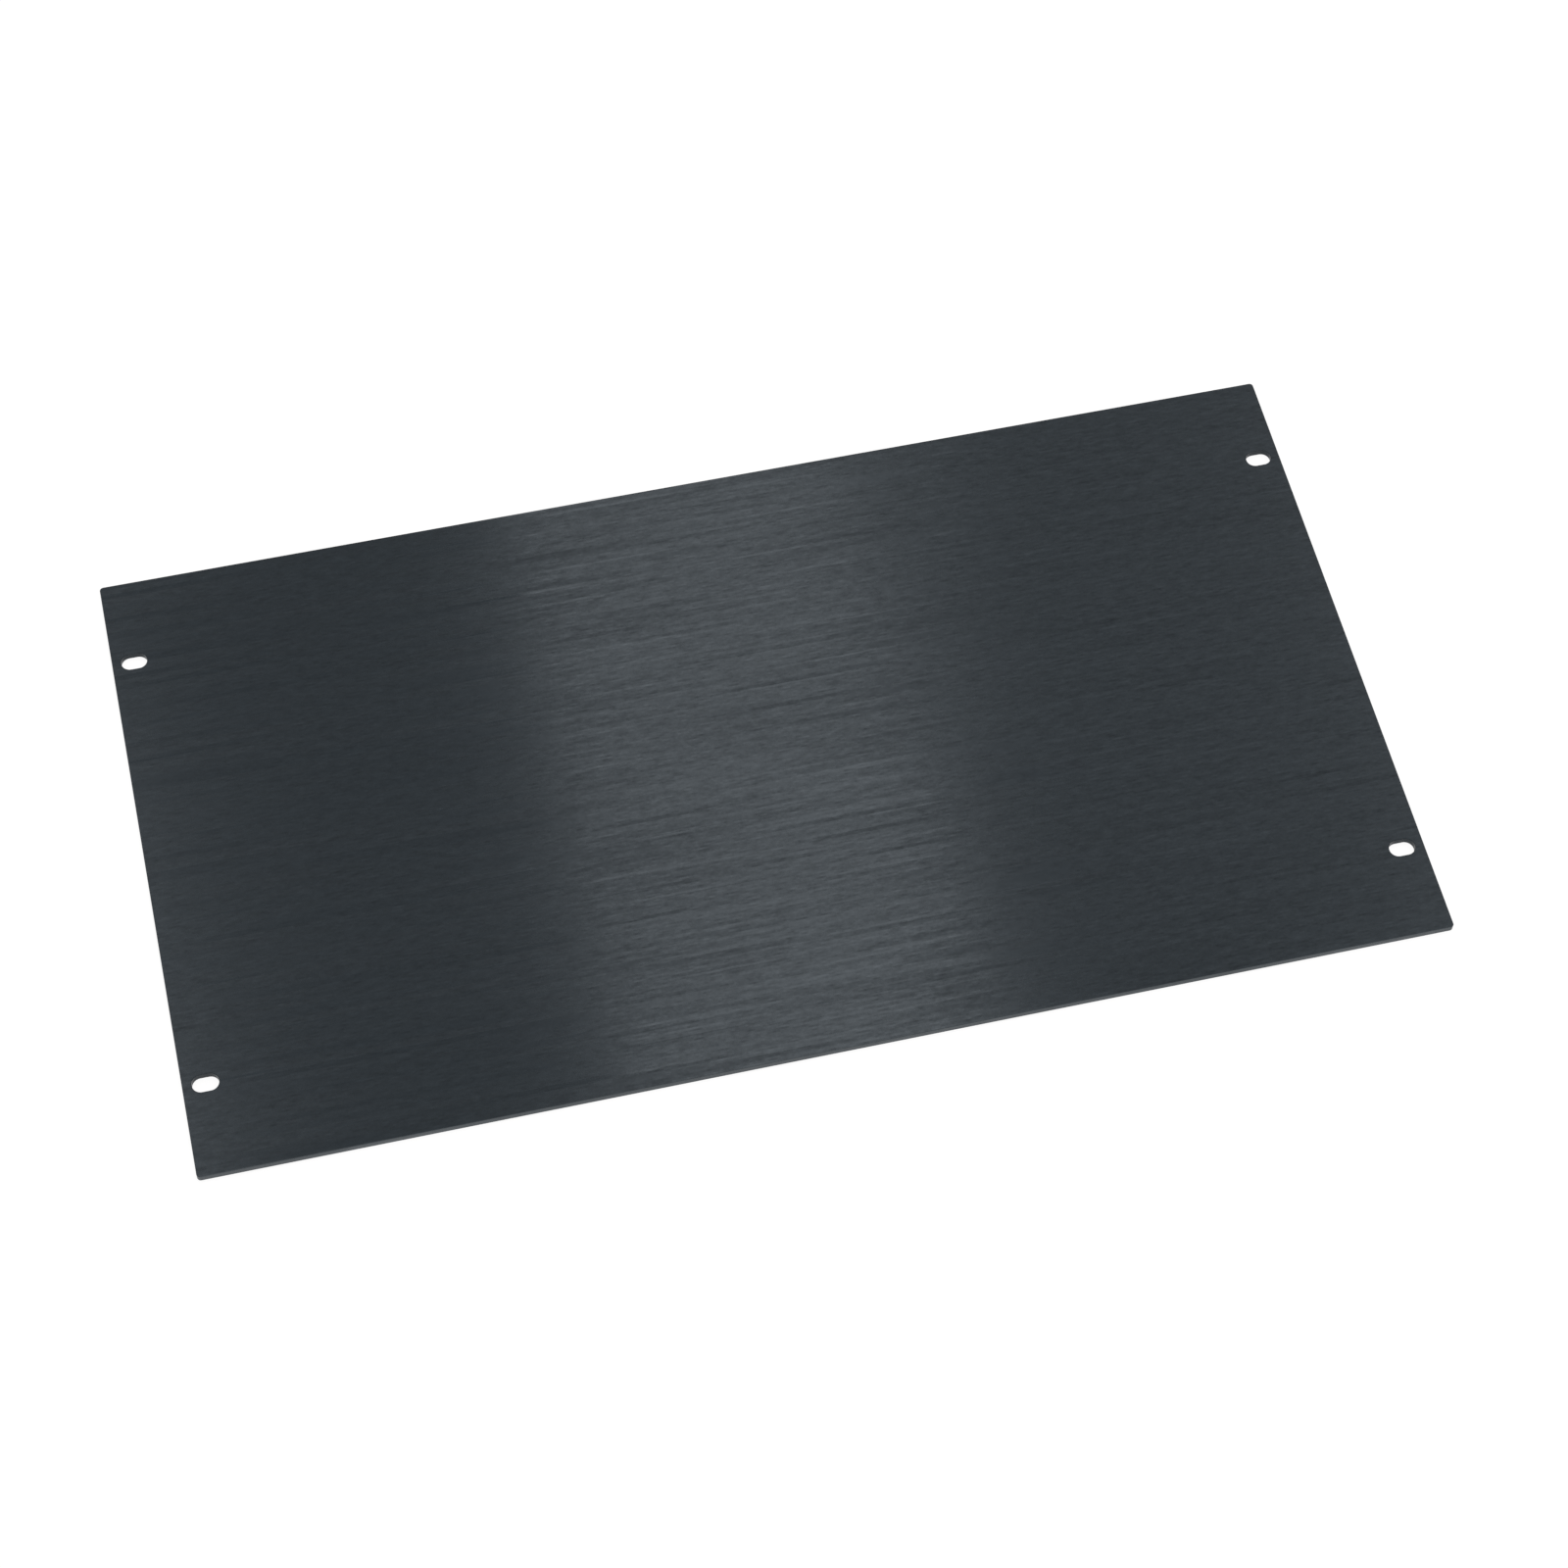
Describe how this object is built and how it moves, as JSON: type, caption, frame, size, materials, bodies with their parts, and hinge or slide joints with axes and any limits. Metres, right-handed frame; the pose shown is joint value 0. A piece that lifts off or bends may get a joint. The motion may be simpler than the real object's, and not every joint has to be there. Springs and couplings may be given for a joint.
{
  "type": "rack blanking panel",
  "caption": "Flat sheet panel that closes an unused bay of a 19 inch equipment rack, brushed and anodised black, with an obround screw slot near each corner.",
  "frame": {"origin": "middle of the back face, the one that meets the rack's rails", "axes": "+X along the rack's width, +Y up the rack, +Z out of the brushed front face"},
  "size_m": [0.4826, 0.2658, 0.003],
  "materials": {
    "black_anodised_aluminium": "brushed along the length, then anodised black, satin"
  },
  "bodies": {
    "root": {"blank_panel": "black_anodised_aluminium"}
  },
  "joints": []
}
